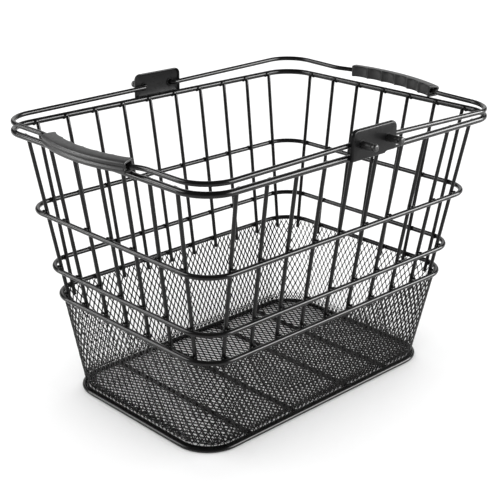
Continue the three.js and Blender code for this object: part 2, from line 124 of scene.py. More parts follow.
# Handles: corners, how far out they reach, how much higher than level each lies at its near and far end, its
# height over the rim, the bends at the pins and the bow that the grip follows
HANDLE_CORNER = 30 * MM
HANDLE_REACH = 186 * MM
LEVELS = {"left": (0.0, 0.0), "right": (-2.1 * MM, 6.4 * MM)}
GRIP_CLEARANCE = 0.35 * MM
PIN_BEND = 4.3 * MM
PIN_END = 156.2 * MM
BOW_HEIGHT = 14 * MM
BOW_REACH = 72 * MM
BOW_END_BEND = 30 * MM

# Grips: outline, end walls and recesses, and the finger scallops inside
GRIP_LENGTH = 108 * MM
GRIP_OFF_MIDDLE = {"left": 0.0, "right": 6 * MM}
GRIP_HALF_HEIGHT = 5.75 * MM
GRIP_INNER = 6 * MM
GRIP_OUTER = 7 * MM
GRIP_OUTER_ROUND = 3.0 * MM
GRIP_CROWN = 0.7 * MM
GRIP_INNER_ROUND = 1.1 * MM
GRIP_FLUTE = 1.3 * MM
GRIP_WALL = 1.9 * MM
GRIP_RECESS = 3.0 * MM
GRIP_END_ROUND = 0.7 * MM
BORE_CLEARANCE = 0.12 * MM
SCALLOPS = 6
SCALLOP_DEPTH = 2.3 * MM
SCALLOP_AT_TOP = 0.3
SCALLOP_RIDGE = 1.6 * MM

# End caps
CAP_CLEARANCE = 0.15 * MM
CAP_CLOSED_END = 3.0 * MM
CAP_GROOVE = 0.55 * MM
CAP_DOME = 2.0 * MM

# Fineness of the meshes: sides of a wire, steps in a ring's corners and straights, steps in a handle's runs
# and bends, and rows of a grip and its bore
WIRE_SIDES = 16
CORNER_STEPS = 14
STRAIGHT_STEPS = 10
RUN_STEPS = 6
BEND_STEP = math.radians(4)
GRIP_ROWS = 217
BORE_ROWS = 49

# Studio: floor, world strength seen directly and in reflections, the boxes that only reflections see, as
# (name, azimuth, elevation, distance, width, height, radiance), and the camera, which looks from its
# (azimuth, elevation). Azimuth 0 is in front and 90 is to the right
FLOOR_HALF = 6
WORLD_STRENGTH = 1.42
WORLD_IN_REFLECTIONS = 0.12
SOFT_BOXES = [
    ("front_right_box", 42, 18, 2.4, 2.2, 1.05, 21),
    ("back_left_box", -136, 34, 2.4, 1.5, 0.7, 11),
    ("low_left_strip", -136, 7, 2.4, 0.7, 0.5, 14),
    ("backdrop_glow", 136, 24, 2.6, 3.0, 1.5, 1.0),
]
CAMERA_PLACE = (-0.7098, -0.7256, 0.5217)
CAMERA_FROM = (-44.126, 21.283)
CAMERA_ROLL = 0.393
CAMERA_LENS = 81.21


# ---------- meshes from arrays ----------

def join_shells(shells):
    """One (places, faces) pair from several, each face a list of place numbers."""
    places, faces = [], []
    for shell_places, shell_faces in shells:
        start = len(places)
        places.extend(shell_places)
        faces.extend([[start + i for i in face] for face in shell_faces])
    return places, faces


def make_piece(name, shell, material, body, nodes, sharp_angle=40):
    """A mesh object of the basket: its faces, finish, the body it rides on and the nodes it stands for."""
    places, faces = shell
    mesh = bpy.data.meshes.new(name)
    mesh.from_pydata([tuple(p) for p in places], [], faces)
    mesh.validate()
    mesh.update()
    work = bmesh.new()
    work.from_mesh(mesh)
    bmesh.ops.recalc_face_normals(work, faces=work.faces)
    work.to_mesh(mesh)
    work.free()
    mesh.polygons.foreach_set("use_smooth", [True] * len(mesh.polygons))
    mesh.set_sharp_from_angle(angle=math.radians(sharp_angle))
    mesh.materials.append(material)
    piece = bpy.data.objects.new(name, mesh)
    bpy.context.scene.collection.objects.link(piece)
    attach(piece, body)
    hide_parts(*nodes)
    return piece


def unit(vectors):
    """The same directions, one long."""
    return vectors / np.linalg.norm(vectors, axis=-1, keepdims=True)


def bridge(first, second, count):
    """Quads between two closed rows of count places that start at the numbers first and second."""
    return [
        [first + i, first + (i + 1) % count, second + (i + 1) % count, second + i]
        for i in range(count)
    ]


def tube(line, radius, closed=False, across=(0, 0, 1)):
    """A round wire along a line of points. Its cut ends are slightly rounded."""
    line = np.asarray(line, float)
    if closed:
        along = unit(np.roll(line, -1, 0) - np.roll(line, 1, 0))
    else:
        along = unit(np.gradient(line, axis=0))
    radii = np.full(len(line), radius)
    if not closed:
        turns = np.radians([0, 30, 60, 90])
        back = CUT_END_ROUND * (1 - np.sin(turns))
        thin = CUT_END_ROUND * (1 - np.cos(turns))
        first = line[0] + back[::-1, None] * along[0]
        last = line[-1] - back[:, None] * along[-1]
        line = np.vstack([first, line[1:-1], last])
        first_along = np.repeat(along[:1], len(turns), 0)
        last_along = np.repeat(along[-1:], len(turns), 0)
        along = np.vstack([first_along, along[1:-1], last_along])
        radii = np.concatenate([radius - thin[::-1], radii[1:-1], radius - thin])
    side = unit(np.cross(along, across))
    over = np.cross(side, along)
    angles = np.arange(WIRE_SIDES) * 2 * math.pi / WIRE_SIDES
    ring = np.cos(angles)[None, :, None] * side[:, None] + np.sin(angles)[None, :, None] * over[:, None]
    places = (line[:, None] + radii[:, None, None] * ring).reshape(-1, 3)
    faces = []
    rows = len(line)
    for row in range(rows if closed else rows - 1):
        faces += bridge(row * WIRE_SIDES, ((row + 1) % rows) * WIRE_SIDES, WIRE_SIDES)
    if not closed:
        faces.append(list(range(WIRE_SIDES)))
        faces.append(list(range((rows - 1) * WIRE_SIDES, rows * WIRE_SIDES)))
    return list(places), faces


def lathe(profile, centre, facing, steps=32):
    """A turned shell: profile rows of (radius, distance along Y), closed on itself, about a Y axis."""
    places = []
    for radius, along in profile:
        for i in range(steps):
            angle = 2 * math.pi * i / steps
            places.append((
                centre[0] + radius * math.cos(angle),
                centre[1] + facing * along,
                centre[2] + radius * math.sin(angle),
            ))
    faces = []
    for row in range(len(profile)):
        faces += bridge(row * steps, ((row + 1) % len(profile)) * steps, steps)
    return places, faces


def weld(centre, along, out, length, height, depth):
    """A weld bead between two crossing wires: a low mound along the wire, pinched at its waist."""
    along, out = unit(np.asarray(along, float)), unit(np.asarray(out, float))
    up = np.cross(along, out)
    rows, columns = 6, 12
    places = [centre - depth / 2 * out]
    for row in range(1, rows):
        polar = math.pi * row / rows
        for column in range(columns):
            angle = 2 * math.pi * column / columns
            waist = 1 - WELD_WAIST * math.sin(angle) ** 2
            x = length / 2 * math.sin(polar) * math.cos(angle)
            y = height / 2 * math.sin(polar) * math.sin(angle) * waist
            places.append(centre + x * along + y * up - depth / 2 * math.cos(polar) * out)
    places.append(centre + depth / 2 * out)
    faces = [[0, 1 + (i + 1) % columns, 1 + i] for i in range(columns)]
    for row in range(rows - 2):
        faces += bridge(1 + row * columns, 1 + (row + 1) * columns, columns)
    last = len(places) - 1
    faces += [[last, last - columns + i, last - columns + (i + 1) % columns] for i in range(columns)]
    return places, faces


# ---------- rounded outlines ----------

def outline_breaks(half_x, half_y, corner):
    """Shares of the way round at which the straights and corners of an outline begin."""
    arc = corner * math.pi / 2
    long_run = half_x - corner
    short_run = 2 * (half_y - corner)
    lengths = [long_run, arc, short_run, arc, 2 * long_run, arc, short_run, arc, long_run]
    return np.concatenate([[0], np.cumsum(lengths)]) / sum(lengths)


def outline_at(share, breaks, half_x, half_y, corner):
    """Places in plan at shares of the way round, counter-clockwise from the middle of the front."""
    share = np.asarray(share, float) % 1
    part = np.clip(np.searchsorted(breaks, share, side="right") - 1, 0, 8)
    done = (share - breaks[part]) / (breaks[part + 1] - breaks[part])
    from_x = np.array([0, 1, 1, 1, 1, -1, -1, -1, -1])[part]
    to_x = np.array([1, 1, 1, 1, -1, -1, -1, -1, 0])[part]
    from_y = np.array([-1, -1, -1, 1, 1, 1, 1, -1, -1])[part]
    to_y = np.array([-1, -1, 1, 1, 1, 1, -1, -1, -1])[part]
    quarter = np.array([-1, -1, 0, 0, 1, 1, 2, 2, 3])[part] + np.where(part % 2 == 1, done, 0)
    out_x, out_y = np.cos(quarter * math.pi / 2), np.sin(quarter * math.pi / 2)
    x = (half_x - corner) * (from_x + (to_x - from_x) * done) + corner * out_x
    y = (half_y - corner) * (from_y + (to_y - from_y) * done) + corner * out_y
    return x, y


def ring_shares(breaks):
    """Shares of the way round that give each straight and each corner its own even steps."""
    shares = []
    for part in range(9):
        steps = CORNER_STEPS if part % 2 else STRAIGHT_STEPS
        shares.extend(np.linspace(breaks[part], breaks[part + 1], steps, endpoint=False))
    return np.array(shares)


def ring_size(node, radius, corner):
    """Half sizes to the centre of a ring's wire, its corner and its height, from its CAD node."""
    low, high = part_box(node)
    return {"x": high.x - radius, "y": high.y - radius, "corner": corner, "z": (low.z + high.z) / 2}


def ring_line(size):
    """The centre line of a ring's wire."""
    breaks = outline_breaks(size["x"], size["y"], size["corner"])
    x, y = outline_at(ring_shares(breaks), breaks, size["x"], size["y"], size["corner"])
    return np.stack([x, y, np.full_like(x, size["z"])], 1)


# ---------- finishes ----------

class Nodes:
    """A material's node tree, with short calls to add and join nodes."""

    def __init__(self, name):
        self.material = bpy.data.materials.new(name)
        self.material.use_nodes = True
        self.tree = self.material.node_tree
        self.shader = self.tree.nodes["Principled BSDF"]
        self.place = self.tree.nodes.new("ShaderNodeTexCoord").outputs["Object"]

    def noise(self, scale, detail=3.0, roughness=0.5):
        node = self.tree.nodes.new("ShaderNodeTexNoise")
        node.inputs["Scale"].default_value = scale
        node.inputs["Detail"].default_value = detail
        node.inputs["Roughness"].default_value = roughness
        self.tree.links.new(self.place, node.inputs["Vector"])
        return node.outputs["Fac"]

    def spread(self, value, low, high, from_low=0.3, from_high=0.7):
        node = self.tree.nodes.new("ShaderNodeMapRange")
        node.inputs["From Min"].default_value = from_low
        node.inputs["From Max"].default_value = from_high
        node.inputs["To Min"].default_value = low
        node.inputs["To Max"].default_value = high
        self.tree.links.new(value, node.inputs["Value"])
        return node.outputs["Result"]

    def two_tones(self, value, first, second):
        node = self.tree.nodes.new("ShaderNodeValToRGB")
        node.color_ramp.elements[0].position = 0.35
        node.color_ramp.elements[0].color = (*first, 1)
        node.color_ramp.elements[1].position = 0.65
        node.color_ramp.elements[1].color = (*second, 1)
        self.tree.links.new(value, node.inputs["Fac"])
        return node.outputs["Color"]

    def bump(self, value, strength, distance, under=None):
        node = self.tree.nodes.new("ShaderNodeBump")
        node.inputs["Strength"].default_value = strength
        node.inputs["Distance"].default_value = distance
        self.tree.links.new(value, node.inputs["Height"])
        if under is not None:
            self.tree.links.new(under, node.inputs["Normal"])
        return node.outputs["Normal"]

    def into(self, socket, value):
        self.tree.links.new(value, self.shader.inputs[socket])


def powder_coat(name, first, second, roughness, peel, specular):
    """Baked powder coat: two close blacks, uneven gloss, and orange peel over a faint waviness."""
    nodes = Nodes(name)
    nodes.shader.inputs["Specular IOR Level"].default_value = specular
    nodes.into("Base Color", nodes.two_tones(nodes.noise(55, 4), first, second))
    nodes.into("Roughness", nodes.spread(nodes.noise(240, 3), *roughness))
    waves = nodes.bump(nodes.noise(190, 2), peel * 0.5, 0.3 * MM)
    nodes.into("Normal", nodes.bump(nodes.noise(900, 2, 0.6), peel, 0.12 * MM, waves))
    return nodes.material


def moulded_plastic(name, first, second, roughness, grain, specular):
    """Moulded plastic: fine eroded grain over a slight sink, with the gloss broken up by handling."""
    nodes = Nodes(name)
    nodes.shader.inputs["Specular IOR Level"].default_value = specular
    nodes.into("Base Color", nodes.two_tones(nodes.noise(90, 5, 0.6), first, second))
    nodes.into("Roughness", nodes.spread(nodes.noise(420, 4, 0.65), *roughness))
    sink = nodes.bump(nodes.noise(70, 1), grain * 0.5, 0.4 * MM)
    nodes.into("Normal", nodes.bump(nodes.noise(2600, 2, 0.7), grain, 0.06 * MM, sink))
    return nodes.material


WIRE_FINISH = powder_coat(
    "gloss_powder_coat", (0.002, 0.002, 0.0021), (0.004, 0.0037, 0.0036), (0.18, 0.25), 0.10, 0.26,
)
MESH_FINISH = powder_coat(
    "satin_mesh_powder_coat", (0.002, 0.002, 0.0021), (0.004, 0.0038, 0.0037), (0.24, 0.34), 0.12, 0.22,
)
PLATE_FINISH = powder_coat(
    "satin_plate_powder_coat", (0.004, 0.004, 0.0043), (0.006, 0.006, 0.0062), (0.26, 0.34), 0.12, 0.14,
)
GRIP_FINISH = moulded_plastic(
    "moulded_grip_plastic", (0.008, 0.0078, 0.0078), (0.014, 0.0136, 0.0134), (0.37, 0.48), 0.16, 0.5,
)
CAP_FINISH = moulded_plastic(
    "moulded_cap_plastic", (0.006, 0.006, 0.006), (0.011, 0.0108, 0.0107), (0.34, 0.44), 0.10, 0.5,
)


# ---------- rings, uprights and their welds ----------

RIM = ring_size("rim_wire", RIM_RADIUS, RIM_CORNER)
UPPER = ring_size("upper_ring", RING_RADIUS, RING_CORNER)
MIDDLE = ring_size("middle_ring", RING_RADIUS, RING_CORNER)
MESH_TOP = ring_size("mesh_top_ring", RING_RADIUS, MESH_TOP_CORNER)
BASE = ring_size("base_ring", RING_RADIUS, BASE_CORNER)


def upright_names():
    """The uprights' nodes, wall by wall."""
    names = []
    for wall, count in (("front", 10), ("back", 10), ("left", 7), ("right", 7)):
        names += [f"{wall}_upright_{i:02d}" for i in range(1, count + 1)]
    return names


def upright_ends(name):
    """Middles of the lower and upper end of an upright's CAD node."""
    places = np.array([v.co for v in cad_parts[name].data.vertices])
    middle = (places[:, 2].min() + places[:, 2].max()) / 2
    return places[places[:, 2] < middle].mean(0), places[places[:, 2] > middle].mean(0)


UPRIGHTS = {name: upright_ends(name) for name in upright_names()}


def ring_welds(line, height, wire_radius, bead_above):
    """Beads where a ring crosses the uprights: one between the wires and one at each side of the upright.

    bead_above is the height of the side beads over the ring's centre line, in wire radii.
    """
    shells = []
    for foot, top in UPRIGHTS.values():
        if not foot[2] < height < top[2]:
            continue
        centre = foot + (top - foot) * (height - foot[2]) / (top[2] - foot[2])
        nearest = int(np.argmin(np.linalg.norm(line - centre, axis=1)))
        along = unit(line[(nearest + 1) % len(line)] - line[nearest - 1])
        out = np.array([along[1], -along[0], 0.0])
        touch = centre + out * UPRIGHT_RADIUS
        shells.append(weld(touch, along, out, BEAD_LENGTH, 2 * wire_radius + BEAD_PROUD, BEAD_DEPTH))
        for side in (-1, 1):
            beside = touch + side * SIDE_BEAD_ALONG * along + SIDE_BEAD_OUT * out
            beside = beside + np.array([0, 0, bead_above * wire_radius])
            shells.append(weld(beside, along, out, *SIDE_BEAD))
    return shells


def build_rings():
    """The rim and the four rings, with the welds that join them to the uprights."""
    for node, size, radius, bead_above in (
        ("rim_wire", RIM, RIM_RADIUS + COATING, -0.7),
        ("upper_ring", UPPER, RING_RADIUS + COATING, 1.0),
        ("middle_ring", MIDDLE, RING_RADIUS + COATING, 1.0),
        ("mesh_top_ring", MESH_TOP, RING_RADIUS + COATING, 1.0),
        ("base_ring", BASE, RING_RADIUS, 0.0),
    ):
        line = ring_line(size)
        shells = [tube(line, radius, closed=True)] + ring_welds(line, size["z"], radius, bead_above)
        make_piece(f"{node}_bent", join_shells(shells), WIRE_FINISH, "basket", [node])


def build_uprights():
    """The upright wires of the walls."""
    for name, (foot, top) in UPRIGHTS.items():
        up = unit(top - foot)
        line = np.linspace(foot, top - UPRIGHT_SHORT_OF_CAD * up, 12)
        shell = tube(line, UPRIGHT_RADIUS + COATING, across=(1, 0, 0))
        make_piece(f"{name}_rod", shell, WIRE_FINISH, "basket", [name])


def build_ribs():
    """The cross wires under the floor mesh, welded to the base ring at both ends."""
    for number in range(1, 5):
        node = f"bottom_rib_{number}"
        low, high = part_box(node)
        x, z = (low.x + high.x) / 2, (low.z + high.z) / 2
        line = np.linspace((x, low.y, z), (x, high.y, z), 16)
        shells = [tube(line, RING_RADIUS)]
        for y in (low.y, high.y):
            shells.append(weld(np.array([x, y, z]), (1, 0, 0), (0, 1, 0), *RIB_BEAD))
        make_piece(f"{node}_rod", join_shells(shells), WIRE_FINISH, "basket", [node])


# ---------- expanded metal ----------

# A cell's eight points in quarters of its width and eighths of its height: its corners and mid-edges
CELL_POINTS = np.array([(2, 0), (1, 2), (0, 4), (-1, 2), (-2, 0), (-1, -2), (0, -4), (1, -2)])


def opening_points():
    """The opening's eight points, in metres from the middle of a cell."""
    half_width, half_height = DIAMOND_WIDTH / 2, DIAMOND_HEIGHT / 2
    slope = math.hypot(half_width, half_height)
    inward = np.array([half_height, half_width]) / slope * STRAND_WIDTH / 2
    waist = (half_width - 1.75 * STRAND_WIDTH / 2, 0.0)
    tip = (0.0, half_height - 2.0 * STRAND_WIDTH / 2)
    shoulder = (half_width / 2 - inward[0], half_height / 2 - inward[1])
    quarter = [waist, shoulder, tip]
    return np.array(
        quarter
        + [(-shoulder[0], shoulder[1]), (-waist[0], 0.0)]
        + [(-shoulder[0], -shoulder[1]), (0.0, -tip[1]), (shoulder[0], -shoulder[1])]
    )


def expanded_metal(cells, place, columns=None):
    """Faces of expanded metal over cells, given as rows of (across, up) lattice numbers.

    place(across, up, off) turns metres on the flat sheet into the shape. With columns the sheet
    closes on itself after that many diamonds.
    """
    count = len(cells)
    corners = cells[:, None] + CELL_POINTS[None]
    keys = corners.reshape(-1, 2).copy()
    if columns:
        keys[:, 0] %= 4 * columns
    shared, shared_index = np.unique(keys, axis=0, return_inverse=True)
    shared_index = shared_index.reshape(count, 8)
    step = np.array([DIAMOND_WIDTH / 4, DIAMOND_HEIGHT / 8])
    flat = shared * step
    opening = opening_points()
    holes = (cells[:, None] * step + opening[None]).reshape(-1, 2)
    twist = np.tile(np.sign(np.round(opening[:, 0], 9)) * STRAND_TWIST, count)
    inside = np.tile(opening * (1 - 2 * STRAND_ROUND / DIAMOND_WIDTH), (count, 1))
    inside = inside + np.repeat(cells * step, 8, 0)
    half = STRAND_THICKNESS / 2
    layers = [
        (flat, np.full(len(flat), half)),
        (flat, np.full(len(flat), -half)),
        (holes, twist + half * 0.8),
        (inside, twist),
        (holes, twist - half * 0.8),
    ]
    places = np.vstack([place(points[:, 0], points[:, 1], off) for points, off in layers])
    start = np.cumsum([0] + [len(points) for points, _ in layers])
    hole_index = np.arange(8 * count).reshape(count, 8)
    rows = [
        start[0] + shared_index,
        start[2] + hole_index,
        start[3] + hole_index,
        start[4] + hole_index,
        start[1] + shared_index,
    ]
    quads = []
    for first, second in zip(rows[:-1], rows[1:]):
        following, following_second = np.roll(first, -1, 1), np.roll(second, -1, 1)
        quads.append(np.stack([first, following, following_second, second], 2).reshape(-1, 4))
    return places, np.vstack(quads)


def make_mesh_piece(name, shells, node):
    """A piece of expanded metal with its plain edges, joined into one mesh."""
    make_piece(name, join_shells(shells), MESH_FINISH, "basket", [node], sharp_angle=60)


def wall_size(height, further_in):
    """Half sizes and corner of the mesh wall at a height, between the base ring and the ring at its top."""
    share = (height - BASE["z"]) / (MESH_TOP["z"] - BASE["z"])
    inset = SETBACK_AT_FOOT + (SETBACK_AT_TOP - SETBACK_AT_FOOT) * share + further_in
    mix = {k: BASE[k] + (MESH_TOP[k] - BASE[k]) * share for k in ("x", "y", "corner")}
    return mix["x"] - inset, mix["y"] - inset, mix["corner"] - inset


WALL_MIDDLE = wall_size((BASE["z"] + MESH_TOP["z"]) / 2, 0)
WALL_BREAKS = outline_breaks(*WALL_MIDDLE)
WALL_AROUND = 4 * (WALL_MIDDLE[0] + WALL_MIDDLE[1]) - (8 - 2 * math.pi) * WALL_MIDDLE[2]
FLOOR_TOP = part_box("bottom_mesh")[1].z + 0.5 * MM


def wall_place(across, up, off):
    """A place on the wall mesh, which stands on the ring at its foot."""
    height = MESH_FOOT + up
    x, y = outline_at(across / WALL_AROUND, WALL_BREAKS, *wall_size(height, -off))
    return np.stack([x, y, height], 1)


def flange_place(across, up, off):
    """A place on the strip that lies on the floor mesh and is folded up inside the wall."""
    fold = FLANGE_FOLD * math.pi / 2
    flat = FLANGE_REACH - FLANGE_FOLD
    turn = np.clip((up - flat) / fold, 0, 1) * math.pi / 2
    inward = FLANGE_INSIDE + np.maximum(flat - up, 0) + FLANGE_FOLD * (1 - np.sin(turn))
    climb = np.maximum(up - flat - fold, 0)
    height = FLOOR_TOP + FLANGE_FOLD * (1 - np.cos(turn)) + climb - off * np.cos(turn)
    inward = inward - off * np.sin(turn)
    x, y = outline_at(across / WALL_AROUND, WALL_BREAKS, *wall_size(height, inward))
    return np.stack([x, y, height], 1)


def mesh_band(place, height):
    """A closed band of expanded metal, its rows stretched a little to fill the height."""
    columns = round(WALL_AROUND / DIAMOND_WIDTH)
    rows = round(2 * height / DIAMOND_HEIGHT) - 1
    width, rise = WALL_AROUND / columns, 2 * height / (rows + 1)
    across, up = np.meshgrid(np.arange(columns), np.arange(rows))
    cells = np.stack([4 * across + 2 * (up % 2), 4 * up + 4], 2).reshape(-1, 2)

    def fitted(over, above, off):
        return place(over * width / DIAMOND_WIDTH, above * rise / DIAMOND_HEIGHT, off)

    return expanded_metal(cells, fitted, columns)


def plain_strip(low, high):
    """A plain strip round the wall that closes the cut diamonds at one of its edges."""
    outer_side = [(0.35, 0.0), (0.5, 0.12), (0.5, 0.88), (0.35, 1.0)]
    profile = outer_side + [(-out, rise) for out, rise in reversed(outer_side)]
    shares = ring_shares(WALL_BREAKS)
    places, faces = [], []
    for out, rise in profile:
        height = low + (high - low) * rise
        x, y = outline_at(shares, WALL_BREAKS, *wall_size(height, -out * STRIP_THICKNESS))
        places.extend(np.stack([x, y, np.full_like(x, height)], 1))
    for row in range(len(profile)):
        following = (row + 1) % len(profile)
        faces += bridge(row * len(shares), following * len(shares), len(shares))
    return places, faces


def build_side_mesh():
    """The wall mesh with plain strips along both edges, and a second sheet folded round its foot."""
    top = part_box("side_mesh")[1].z
    wall = mesh_band(wall_place, top - MESH_FOOT)
    fold = FLANGE_FOLD * math.pi / 2
    flange = mesh_band(flange_place, FLANGE_REACH - FLANGE_FOLD + fold + FLANGE_RISE)
    strips = [plain_strip(top - HEM_HEIGHT, top), plain_strip(MESH_FOOT, FOOT_STRIP_TOP)]
    make_mesh_piece("side_mesh_expanded", [wall, flange] + strips, "side_mesh")


def build_bottom_mesh():
    """The floor mesh: diamonds lengthways across the basket, cut to the rounded outline."""
    low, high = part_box("bottom_mesh")
    middle = (low.z + high.z) / 2
    corner = BASE_CORNER - SETBACK_AT_FOOT - FLOOR_MESH_EDGE
    centre_x = high.x - FLOOR_MESH_EDGE - corner
    centre_y = high.y - FLOOR_MESH_EDGE - corner

    def place(across, up, off):
        near_x, near_y = np.clip(across, -centre_x, centre_x), np.clip(up, -centre_y, centre_y)
        over_x, over_y = across - near_x, up - near_y
        over = np.hypot(over_x, over_y)
        keep = np.where(over > corner, corner / np.maximum(over, 1e-9), 1)
        return np.stack([near_x + over_x * keep, near_y + over_y * keep, middle + off], 1)

    columns = int(2 * high.x / DIAMOND_WIDTH) + 3
    rows = int(4 * high.y / DIAMOND_HEIGHT) + 4
    across, up = np.meshgrid(np.arange(columns) - columns // 2, np.arange(rows) - rows // 2)
    cells = np.stack([4 * across + 2 * (up % 2), 4 * up], 2).reshape(-1, 2)
    centres = cells * np.array([DIAMOND_WIDTH / 4, DIAMOND_HEIGHT / 8])
    placed = place(centres[:, 0], centres[:, 1], np.zeros(len(centres)))
    moved = np.linalg.norm(placed[:, :2] - centres, axis=1)
    floor = expanded_metal(cells[moved < 0.5 * MM], place)
    make_mesh_piece("bottom_mesh_expanded", [floor], "bottom_mesh")


# ---------- pivot plates ----------

def plate_outline(low_x, high_x, low_z, high_z, inset):
    """Points of a plate's outline, set in by inset: round above, nearly square below, one end notched."""
    points = []
    notch_x = high_x - PLATE_NOTCH_SHARE * (high_x - low_x)
    top, foot = PLATE_CORNER - inset, max(PLATE_FOOT_CORNER - inset, 0.2 * MM)

    def arc(centre_x, centre_z, radius, start, steps):
        for i in range(steps + 1):
            angle = math.radians(start + 90 * i / steps)
            points.append((centre_x + radius * math.cos(angle), centre_z + radius * math.sin(angle)))

    notch_z = low_z + inset + PLATE_NOTCH
    arc(high_x - inset - foot, notch_z + foot, foot, 270, 4)
    arc(high_x - inset - top, high_z - inset - top, top, 0, 10)
    arc(low_x + inset + top, high_z - inset - top, top, 90, 10)
    arc(low_x + inset + foot, low_z + inset + foot, foot, 180, 4)
    points.append((notch_x - PLATE_NOTCH, low_z + inset))
    points.append((notch_x + PLATE_NOTCH, notch_z))
    return points


def hole_points(x, z, steps=28):
    """Points round a pin hole."""
    angles = [2 * math.pi * i / steps for i in range(steps)]
    return [(x + HOLE_RADIUS * math.cos(angle), z + HOLE_RADIUS * math.sin(angle)) for angle in angles]


def plate_shell(low, high, pins, facing):
    """A pressed plate: rolled edge, thin wall turned back into a lip, two pin holes."""
    work = bmesh.new()
    depth = high.y - low.y
    back = low.y if facing > 0 else high.y

    def loop(points, off):
        verts = [work.verts.new((x, back + facing * off, z)) for x, z in points]
        return verts, [work.edges.new((verts[i], verts[(i + 1) % len(verts)])) for i in range(len(verts))]

    def skin(rows):
        for first, second in zip(rows[:-1], rows[1:]):
            count = len(first)
            for i in range(count):
                following = (i + 1) % count
                work.faces.new((first[i], first[following], second[following], second[i]))

    def outline(inset):
        return plate_outline(low.x, high.x, low.z, high.z, inset)

    outer = [(0.0, 0.0), (0.0, depth - PLATE_EDGE_ROUND)]
    for angle in (22.5, 45, 67.5, 90):
        turn = math.radians(angle)
        inset = PLATE_EDGE_ROUND * (1 - math.cos(turn))
        outer.append((inset, depth - PLATE_EDGE_ROUND * (1 - math.sin(turn))))
    inner = [
        (PLATE_LIP + 1.4 * MM, depth - PLATE_WALL),
        (PLATE_LIP + 0.5 * MM, depth - PLATE_WALL - 0.3 * MM),
        (PLATE_LIP + 0.2 * MM, depth - PLATE_WALL - 0.9 * MM),
        (PLATE_LIP, 0.5 * MM),
        (PLATE_LIP - 0.4 * MM, 0.05 * MM),
        (0.35 * MM, 0.0),
    ]
    inner_loops = [loop(outline(inset), off) for inset, off in inner]
    outer_loops = [loop(outline(inset), max(off, 0.25 * MM)) for inset, off in outer]
    skin([verts for verts, _ in inner_loops] + [verts for verts, _ in outer_loops])
    rims = []
    for (_, edges), off in ((outer_loops[-1], depth), (inner_loops[0], depth - PLATE_WALL)):
        holes = [loop(hole_points(x, z), off) for x, z in pins]
        rims.append(holes)
        hole_edges = [edge for _, around in holes for edge in around]
        bmesh.ops.triangle_fill(work, edges=edges + hole_edges, use_beauty=True)
    for (front, _), (rear, _) in zip(*rims):
        skin([front, rear])
    bmesh.ops.recalc_face_normals(work, faces=work.faces)
    work.verts.index_update()
    shell = [tuple(v.co) for v in work.verts], [[v.index for v in f.verts] for f in work.faces]
    work.free()
    return shell


def collar(x, z, face, facing, height):
    """The raised rim round a pin hole."""
    inner, outer = HOLE_RADIUS + 0.02 * MM, HOLE_RADIUS + COLLAR_WIDTH
    profile = [
        (inner, -0.2 * MM), (inner, height * 0.7), (inner + 0.25 * MM, height),
        (outer - 0.5 * MM, height), (outer - 0.1 * MM, height * 0.6), (outer, -0.2 * MM),
    ]
    return lathe(profile, (x, face, z), facing)


def build_plates():
    """The two plates that the handles turn in, with the welds that join them to the rim."""
    for side, facing in (("front", -1), ("back", 1)):
        node = f"{side}_pivot_plate"
        low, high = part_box(node)
        pins = []
        for hand in ("left", "right"):
            cap_low, cap_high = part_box(f"{hand}_{side}_end_cap")
            pins.append(((cap_low.x + cap_high.x) / 2, (cap_low.z + cap_high.z) / 2))
        shells = [plate_shell(low, high, pins, facing)]
        inner_face = (high.y - PLATE_WALL) if facing > 0 else (low.y + PLATE_WALL)
        outer_face = high.y if facing > 0 else low.y
        for x, z in pins:
            shells.append(collar(x, z, inner_face, -facing, COLLAR_HEIGHT))
            shells.append(collar(x, z, outer_face, facing, OUTER_COLLAR_HEIGHT))
        rim_side = high.y if facing < 0 else low.y
        for x, length in PLATE_BEADS:
            centre = np.array([-facing * x, rim_side, RIM["z"] + PLATE_BEAD_ABOVE_RIM])
            shells.append(weld(centre, (1, 0, 0), (0, 1, 0), length, PLATE_BEAD_HEIGHT, PLATE_BEAD_DEPTH))
        make_piece(f"{node}_pressed", join_shells(shells), PLATE_FINISH, "basket", [node])


# ---------- handles ----------

def pivot_place():
    """How far a handle's pivot is from the middle of the basket, and its height."""
    low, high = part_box("left_front_end_cap")
    return abs((low.x + high.x) / 2), (low.z + high.z) / 2


PIVOT_X, PIVOT_Z = pivot_place()
BOW_ANGLE = 2 * math.atan(BOW_HEIGHT / BOW_REACH)
BOW_RADIUS = BOW_REACH / math.sin(BOW_ANGLE) - BOW_END_BEND
BOW_CENTRE = BOW_RADIUS - HANDLE_REACH - BOW_HEIGHT


def handle_height(side, x, y):
    """Height of a handle's centre line: down from the pivots until its grip lies over the rim."""
    near, far = LEVELS[side]
    lying = RIM["z"] + RIM_RADIUS + GRIP_CLEARANCE + GRIP_HALF_HEIGHT
    out = np.maximum(0, np.abs(x) - PIVOT_X) / (HANDLE_REACH - PIVOT_X)
    end = lying + near + (far - near) * (y / RIM["y"] + 1) / 2
    return PIVOT_Z + (end - PIVOT_Z) * out


def bent_wire(x, y, heading, moves):
    """Points in plan of a wire bent on the bench. Moves are (run, bend radius, bend angle)."""
    points = [(x, y)]
    for run, radius, angle in moves:
        for _ in range(RUN_STEPS):
            x += run / RUN_STEPS * math.cos(heading)
            y += run / RUN_STEPS * math.sin(heading)
            points.append((x, y))
        steps = math.ceil(abs(angle) / BEND_STEP)
        side = math.copysign(1, angle)
        centre_x = x - side * radius * math.sin(heading)
        centre_y = y + side * radius * math.cos(heading)
        start = heading
        for i in range(1, steps + 1):
            heading = start + angle * i / steps
            x = centre_x + side * radius * math.sin(heading)
            y = centre_y - side * radius * math.cos(heading)
            points.append((x, y))
    return np.array(points)


